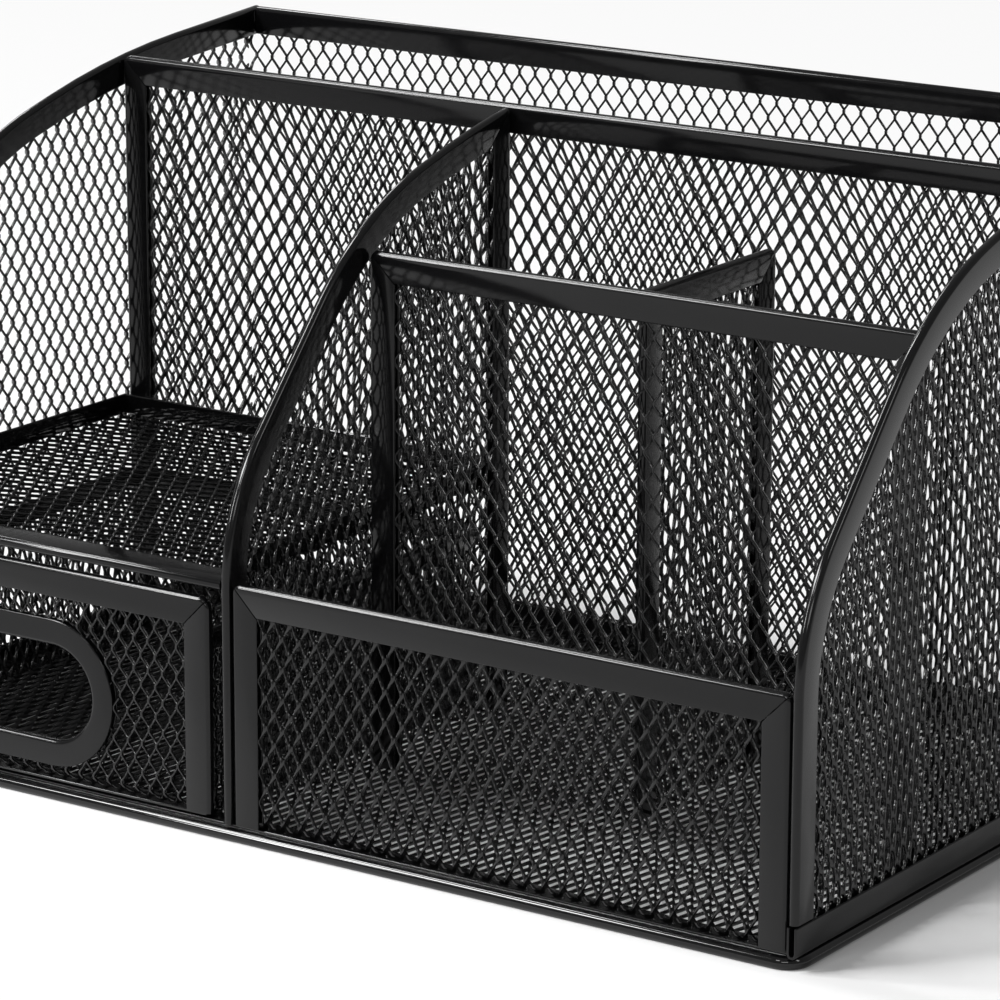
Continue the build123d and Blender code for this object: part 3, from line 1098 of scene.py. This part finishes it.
def clip_to_route(bm: bmesh.types.BMesh, route: Rounded, inset: float) -> None:
    """Cuts a sheet along the inside of a clockwise route.

    Args:
        bm: the sheet.
        route: the route.
        inset: how far inside it the cut runs.
    """
    for place, along in route.tangents(CUT_FACET):
        outward = UP.cross(along)
        cut(bm, place - outward * inset, outward)


def cut_sheet(
    weave: Weave, net: Flat, low: Vector | None = None, high: Vector | None = None,
    route: Rounded | None = None,
) -> bmesh.types.BMesh:
    """Makes a sheet of expanded metal, cut to size and with its cut ends closed.

    Args:
        weave: how it was expanded.
        net: its box; a knuckle lies at the lowest corner.
        low: lowest corner of the cut, if that isn't the box's.
        high: highest corner of the cut, if that isn't the box's.
        route: the curved top edge, if it has one.

    Returns:
        The mesh, in local places.
    """
    bm = ExpandedSheet(weave).build(net.low, net.high)
    sides = "left right bottom" if route else "left right bottom top"
    clip(bm, net.low if low is None else low, net.high if high is None else high, sides)
    if route:
        clip_to_route(bm, route, NET_INSET)
    close_ends(bm)
    return bm


@dataclass
class OuterWall(SubAssembly):
    """Left or right wall: sheet, bottom strip, and the strip up its front and over its top."""

    name: str = ""
    weave: Weave = WALL_WEAVE

    def build(self) -> None:
        """Builds the two strips and the sheet."""
        edging = Flat.of(Grid.SIDE, f"{self.name}_edging")
        foot = Flat.of(Grid.SIDE, f"{self.name}_bottom_strip")
        section = StripSection(foot.high.y - foot.low.y, foot.thickness)
        route = wall_route(edging.low.y, overrun=section.width)
        sweep = Sweep(section.outline(), route.points[0], AHEAD, RIGHT)
        route.follow(sweep)
        cut(sweep.bm, edging.high, RIGHT)
        close_ends(sweep.bm, END_ROUNDING)
        self.keep(f"{self.name}_edging", Slot.STRIP, sweep.bm, Grid.SIDE, edging.middle)
        self.edge_strip(Grid.SIDE, f"{self.name}_bottom_strip")
        net = Flat.of(Grid.SIDE, f"{self.name}_net")
        high = flat_vector(net.high.x - WRAP_RADIUS, net.high.y)
        bm = cut_sheet(self.weave, net, high=high, route=wall_route(net.low.y))
        self.keep(f"{self.name}_net", Slot.MESH, bm, Grid.SIDE, net.middle)


@dataclass
class BackWall(SubAssembly):
    """Back wall, whose sheet wraps round the rear corners, with a top and a bottom strip."""

    weave: Weave = WALL_WEAVE

    def build(self) -> None:
        """Builds the two strips and the sheet."""
        self.edge_strip(Grid.CROSS, "back_wall_top_strip", fold_on_top=True)
        self.edge_strip(Grid.CROSS, "back_wall_bottom_strip")
        net = Flat.of(Grid.CROSS, "back_wall_net")
        wall = Flat.of(Grid.CROSS, "left_wall_net", "right_wall_net")
        reach = wall.high.x - NET_NODE_HALF - WRAP_RADIUS
        arc = WRAP_RADIUS * math.pi / 2
        low = flat_vector(-reach - arc, net.low.y)
        high = flat_vector(reach + arc, net.high.y)
        bm = cut_sheet(self.weave, Flat(Grid.CROSS, low, high))
        roll_end(bm, axis=0, start=reach, way=1, radius=WRAP_RADIUS, rise=1)
        roll_end(bm, axis=0, start=-reach, way=-1, radius=WRAP_RADIUS, rise=1)
        self.keep("back_wall_net", Slot.MESH, bm, Grid.CROSS, net.middle)


@dataclass
class MiddleWall(SubAssembly):
    """Wall between the two bays, with the side walls' outline."""

    weave: Weave = WALL_WEAVE

    def build(self) -> None:
        """Builds the edging, the rear strip and the sheet."""
        edging = Flat.of(Grid.SIDE, "middle_wall_edging")
        rear = Flat.of(Grid.SIDE, "middle_wall_rear_strip")
        section = StripSection(rear.high.x - rear.low.x, rear.thickness)
        route = wall_route(edging.low.y)
        heights = [
            place + along * ((rear.high.x - place.x) / along.x)
            for place, along in route.tangents(ROUTE_STEP)
            if along.x > 0.5 and place.x > rear.low.x - section.width
        ]
        corner = Corner(heights[0], STRIP_CORNER, SEAM_GAP)
        sweep = Sweep(section.outline(), route.points[0], AHEAD, RIGHT)
        route.follow(sweep)
        outward = (RIGHT - AHEAD).normalized()
        cut(sweep.bm, corner.place + AHEAD * SEAM_GAP / 2, outward, reach=MITRE_REACH)
        close_ends(sweep.bm, END_ROUNDING)
        self.keep("middle_wall_edging", Slot.STRIP, sweep.bm, Grid.SIDE, edging.middle)
        foot = flat_vector(rear.high.x, rear.low.y)
        strip = StraightStrip(section, foot, corner.place, last=corner)
        self.keep("middle_wall_rear_strip", Slot.STRIP, strip.build(), Grid.SIDE, rear.middle)
        net = Flat.of(Grid.SIDE, "middle_wall_net")
        bm = cut_sheet(self.weave, net, route=wall_route(net.low.y))
        self.keep("middle_wall_net", Slot.MESH, bm, Grid.SIDE, net.middle)


@dataclass
class LevelSheet(SubAssembly):
    """A level sheet of expanded metal, with an unslit margin along its front edge."""

    node: str = ""
    weave: Weave = FLOOR_WEAVE

    def build(self) -> None:
        """Builds the sheet."""
        net = Flat.of(Grid.LEVEL, self.node)
        bm = cut_sheet(self.weave, net)
        add_front_margin(bm, net)
        self.keep(self.node, Slot.MESH, bm, Grid.LEVEL, net.middle)


@dataclass
class BaseWire(SubAssembly):
    """Ring of round wire that the object stands on, a little flat underneath."""

    corner: float = 4.0 * MM
    radius: float = 1.3 * MM

    def build(self) -> None:
        """Builds the ring."""
        box = Flat.of(Grid.LEVEL, "base_wire")
        half_x = box.high.x - self.radius
        half_y = box.high.y - self.radius
        straight_x = 2 * (half_x - self.corner)
        straight_y = 2 * (half_y - self.corner)
        last = 360 - WIRE_FACET
        circle = arc_points((0, 0), self.radius, 0, last, last // WIRE_FACET)
        start = flat_vector(-straight_x / 2, -half_y)
        sweep = Sweep(circle, start, RIGHT, AHEAD)
        for length in (straight_x, straight_y, straight_x, straight_y):
            sweep.run(length, 2)
            centre = sweep.place + UP.cross(sweep.along) * self.corner
            sweep.turn(centre, math.pi / 2, WIRE_TURN_FACETS)
        sweep.weld()
        middle = box.high.z - self.radius
        for vert in sweep.bm.verts:
            vert.co.z = max(vert.co.z, box.low.z - middle)
        self.keep("base_wire", Slot.WIRE, sweep.bm, Grid.LEVEL, middle)


@dataclass
class Tray(SubAssembly):
    """Level sheet over the drawer, with a front strip and flanges turned up at the walls."""

    weave: Weave = TRAY_WEAVE

    def build(self) -> None:
        """Builds the sheet, the strip and the flanges."""
        self.edge_strip(Grid.LEVEL, "tray_front_strip")
        net = Flat.of(Grid.LEVEL, "tray_net")
        bm = cut_sheet(self.weave, net)
        self.keep("tray_net", Slot.MESH, bm, Grid.LEVEL, net.middle)
        for side, grid in (("left", Grid.SIDE), ("right", Grid.SIDE), ("rear", Grid.CROSS)):
            node = f"tray_{side}_flange"
            box = Flat.of(grid, node)
            outline = bar_outline(box.high.y - box.low.y, box.thickness, FLANGE_FACETS)
            sweep = Sweep(outline, flat_vector(box.low.x, box.high.y), RIGHT, BACK)
            sweep.run(box.high.x - box.low.x)
            close_ends(sweep.bm, END_ROUNDING)
            self.keep(node, Slot.MESH, sweep.bm, grid, box.middle)


@dataclass
class DrawerFront(FramedPanel):
    """Framed drawer front with a slot-shaped finger hole in a folded rim."""

    rim_width: float = 5.2 * MM

    def build(self) -> None:
        """Builds the frame, the sheet and the rim."""
        super().build()
        rim = Flat.of(self.grid, "drawer_finger_rim")
        section = StripSection(self.rim_width, rim.thickness)
        radius = (rim.high.y - rim.low.y) / 2 - self.rim_width
        middle = (rim.low + rim.high) / 2
        straight = (rim.high.x - rim.low.x) - 2 * (radius + self.rim_width)
        start = flat_vector(middle.x - straight / 2, middle.y - radius)
        sweep = Sweep(section.outline(), start, RIGHT, BACK)
        for _ in range(2):
            sweep.run(straight)
            sweep.turn(sweep.place + UP.cross(sweep.along) * radius, math.pi, RIM_FACETS)
        sweep.weld()
        self.keep("drawer_finger_rim", Slot.STRIP, sweep.bm, self.grid, rim.middle)

    def sheet(self) -> bmesh.types.BMesh:
        """Makes the sheet with the finger hole cut out.

        Returns:
            The mesh, in local places.
        """
        bm = super().sheet()
        rim = Flat.of(self.grid, "drawer_finger_rim")
        middle = (rim.low + rim.high) / 2
        outer = (rim.high.y - rim.low.y) / 2
        straight = (rim.high.x - rim.low.x) / 2 - outer
        hidden = outer - self.rim_width / 2
        gone = []
        for face in bm.faces:
            centre = face.calc_center_median()
            past_x = max(0.0, abs(centre.x - middle.x) - straight)
            if math.hypot(past_x, centre.y - middle.y) < hidden:
                gone.append(face)
        bmesh.ops.delete(bm, geom=gone, context="FACES")
        close_ends(bm)
        return bm


@dataclass
class DrawerBody(SubAssembly):
    """Side and back sheets of the drawer, with strips along their top edges."""

    weave: Weave = DRAWER_WEAVE

    def build(self) -> None:
        """Builds the sheets and the strips."""
        for side, grid in (("left", Grid.SIDE), ("right", Grid.SIDE), ("back", Grid.CROSS)):
            self.edge_strip(grid, f"drawer_{side}_top_strip", fold_on_top=True, cheek=DRAWER_CHEEK)
            net = Flat.of(grid, f"drawer_{side}_net")
            self.keep(f"drawer_{side}_net", Slot.MESH, cut_sheet(self.weave, net), grid, net.middle)


# ---- studio -------------------------------------------------------------------------------------
def direction(azimuth: float, elevation: float) -> Vector:
    """Gives the direction towards a place round the object.

    Args:
        azimuth: degrees round from the front to the right.
        elevation: degrees above the table.

    Returns:
        The unit vector.
    """
    turn = math.radians(azimuth)
    rise = math.radians(elevation)
    level = math.cos(rise)
    return Vector((math.sin(turn) * level, -math.cos(turn) * level, math.sin(rise)))


@dataclass(frozen=True)
class SoftBox:
    """A lamp with a white front, turned towards the object.

    Attributes:
        name: its name.
        azimuth: degrees round from the front to the right.
        elevation: degrees above the table.
        distance: from the object.
        size: width and height.
        brightness: radiance of its front.
    """

    name: str
    azimuth: float
    elevation: float
    distance: float
    size: tuple[float, float]
    brightness: float

    def build(self) -> None:
        """Hangs the lamp."""
        data = bpy.data.lights.new(self.name, "AREA")
        data.shape = "RECTANGLE"
        data.size, data.size_y = self.size
        data.energy = self.brightness * math.pi * self.size[0] * self.size[1]
        lamp = bpy.data.objects.new(self.name, data)
        towards = direction(self.azimuth, self.elevation)
        lamp.location = LAMP_AIM + towards * self.distance
        lamp.rotation_mode = "QUATERNION"
        lamp.rotation_quaternion = towards.to_track_quat("Z", "Y")
        bpy.context.scene.collection.objects.link(lamp)


LAMP_AIM = Vector((0, 0, 0.06))
FLOOR_REACH = 6.0
GLOW_START = 4 * MM
GLOW_END = 60 * MM
GLOW_SHARE = 0.9
WORLD_LIGHT = 0.1
WORLD_MIRRORED = 0.25
SENSOR_WIDTH = 36
PICTURE_WIDTH = 1000
SOFT_BOXES = (
    SoftBox("key_box", -41, 36, 1.1, (0.4, 0.22), 34.0),
    SoftBox("low_left_box", -36, 20, 1.1, (0.08, 0.26), 40.0),
    SoftBox("high_left_box", -60, 52, 1.1, (0.09, 0.3), 40.0),
    SoftBox("left_box", -88, 57, 1.1, (0.09, 0.26), 36.0),
    SoftBox("front_box", 0, 39, 1.1, (0.22, 0.2), 12.0),
    SoftBox("low_box", 28, 22, 1.3, (0.5, 0.22), 6.0),
    SoftBox("rear_left_box", -118, 34, 1.2, (0.3, 0.14), 14.0),
    SoftBox("right_box", 80, 34, 1.2, (0.14, 0.36), 8.0),
)


@dataclass(frozen=True)
class Studio:
    """White sweep, soft lamps and camera.

    Attributes:
        azimuth: where the camera stands, in degrees round from the front to the right.
        elevation: its height angle.
        roll: its roll.
        distance: from the target.
        focal: focal length in pixels of the 1000-pixel picture.
        target: what it looks at.
    """

    azimuth: float = 34.18
    elevation: float = 15.04
    roll: float = 0.21
    distance: float = 916.7 * MM
    focal: float = 4812.3
    target: tuple[float, float, float] = (7.9 * MM, -10 * MM, 55.5 * MM)

    def camera(self) -> None:
        """Places the camera."""
        back = direction(self.azimuth, self.elevation)
        side = UP.cross(back).normalized()
        up = back.cross(side)
        roll = math.radians(self.roll)
        rolled_side = side * math.cos(roll) + up * math.sin(roll)
        rolled_up = up * math.cos(roll) - side * math.sin(roll)
        data = bpy.data.cameras.new("camera")
        data.sensor_width = SENSOR_WIDTH
        data.lens = self.focal * SENSOR_WIDTH / PICTURE_WIDTH
        data.clip_start = 0.01
        data.clip_end = 50
        camera = bpy.data.objects.new("camera", data)
        facing = Matrix((rolled_side, rolled_up, back)).transposed().to_4x4()
        place = Vector(self.target) + back * self.distance
        camera.matrix_world = Matrix.Translation(place) @ facing
        bpy.context.scene.collection.objects.link(camera)
        bpy.context.scene.camera = camera

    def floor(self) -> None:
        """Lays the pale floor."""
        bm = bmesh.new()
        bmesh.ops.create_grid(bm, x_segments=8, y_segments=8, size=FLOOR_REACH)
        mesh = bpy.data.meshes.new("floor")
        bm.to_mesh(mesh)
        bm.free()
        mesh.materials.append(self.paper())
        ground = bpy.data.objects.new("floor", mesh)
        bpy.context.scene.collection.objects.link(ground)

    def seen(self, graph: NodeGraph, mirrored: float = 1.0) -> bpy.types.Node:
        """Tells rays that reach the eye, straight, by mirroring or through glass, from others.

        Args:
            graph: the node tree that asks.
            mirrored: how much of it a mirrored ray sees.

        Returns:
            The node, whose value is 1 for rays straight to the eye.
        """
        ray = graph.add("ShaderNodeLightPath")
        straight = graph.add("ShaderNodeMath", operation="MAXIMUM")
        either = graph.add("ShaderNodeMath", operation="MAXIMUM")
        share = graph.add("ShaderNodeMath", operation="MULTIPLY")
        share.inputs[1].default_value = mirrored
        graph.wire(
            (ray, "Is Camera Ray", straight, 0),
            (ray, "Is Glossy Ray", share, 0),
            (share, "Value", straight, 1),
            (straight, "Value", either, 0),
            (ray, "Is Transmission Ray", either, 1),
        )
        return either

    def paper(self) -> bpy.types.Material:
        """Makes the floor's paper: matt and pale, and white to the eye away from the object.

        Returns:
            The material.
        """
        material = bpy.data.materials.new("floor_paper")
        material.use_nodes = True
        graph = NodeGraph(material.node_tree)
        shader = material.node_tree.nodes["Principled BSDF"]
        output = material.node_tree.nodes["Material Output"]
        shader.inputs["Roughness"].default_value = 0.9
        place = graph.add("ShaderNodeTexCoord")
        grain = graph.add("ShaderNodeTexNoise", Scale=40.0, Detail=3.0)
        tone = graph.add("ShaderNodeMix", data_type="RGBA")
        tone.inputs["A"].default_value = (0.9, 0.9, 0.9, 1)
        tone.inputs["B"].default_value = (0.93, 0.93, 0.93, 1)
        span = graph.add("ShaderNodeVectorMath", operation="ABSOLUTE")
        beyond = graph.add("ShaderNodeVectorMath", operation="SUBTRACT")
        beyond.inputs[1].default_value = CAD_BOX[1]
        clear = graph.add("ShaderNodeVectorMath", operation="MAXIMUM")
        away = graph.add("ShaderNodeVectorMath", operation="LENGTH")
        fade = graph.add(
            "ShaderNodeMapRange", interpolation_type="SMOOTHSTEP",
            From_Min=GLOW_START, From_Max=GLOW_END, To_Max=GLOW_SHARE,
        )
        share = graph.add("ShaderNodeMath", operation="MULTIPLY")
        glow = graph.add("ShaderNodeEmission", Strength=1.0)
        mix = graph.add("ShaderNodeMixShader")
        graph.wire(
            (place, "Object", grain, "Vector"),
            (grain, "Fac", tone, "Factor"),
            (tone, "Result", shader, "Base Color"),
            (place, "Object", span, 0),
            (span, "Vector", beyond, 0),
            (beyond, "Vector", clear, 0),
            (clear, "Vector", away, 0),
            (away, "Value", fade, "Value"),
            (fade, "Result", share, 0),
            (self.seen(graph), "Value", share, 1),
            (share, "Value", mix, "Fac"),
            (shader, "BSDF", mix, 1),
            (glow, "Emission", mix, 2),
            (mix, "Shader", output, "Surface"),
        )
        return material

    def world(self) -> None:
        """Surrounds the scene with soft white light, and a white sweep to the eye."""
        world = bpy.data.worlds.new("studio")
        bpy.context.scene.world = world
        world.use_nodes = True
        graph = NodeGraph(world.node_tree)
        strength = graph.add("ShaderNodeMapRange", To_Min=WORLD_LIGHT, To_Max=1.0)
        background = world.node_tree.nodes["Background"]
        background.inputs["Color"].default_value = (1, 1, 1, 1)
        seen = self.seen(graph, mirrored=WORLD_MIRRORED)
        graph.wire((seen, "Value", strength, "Value"), (strength, "Result", background, "Strength"))

    def build(self) -> None:
        """Builds the studio."""
        bpy.context.scene.view_settings.view_transform = "Standard"
        self.camera()
        self.floor()
        self.world()
        for box in SOFT_BOXES:
            box.build()


def main() -> None:
    """Builds the object and the studio."""
    logging.basicConfig(level=logging.INFO, format="%(message)s")
    finishes = Finishes()
    groups: list[SubAssembly] = [
        BaseWire(),
        LevelSheet(node="floor_net"),
        OuterWall(name="left_wall", weave=LEFT_WEAVE),
        OuterWall(name="right_wall"),
        BackWall(),
        MiddleWall(),
        FramedPanel(name="rear_divider", weave=LEFT_WEAVE),
        FramedPanel(name="pen_divider"),
        FramedPanel(name="small_divider", grid=Grid.SIDE),
        FramedPanel(name="front_panel", weave=FRONT_WEAVE, rolled=True),
        Tray(),
        DrawerFront(
            name="drawer_front", weave=DRAWER_WEAVE, corner=DRAWER_CORNER, rolled=True,
            body=Body.DRAWER,
        ),
        DrawerBody(body=Body.DRAWER),
        LevelSheet(node="drawer_floor_net", weave=DRAWER_FLOOR_WEAVE, body=Body.DRAWER),
    ]
    for group in groups:
        group.build()
        group.dress(finishes)
    Studio().build()


if __name__ == "__main__":
    main()
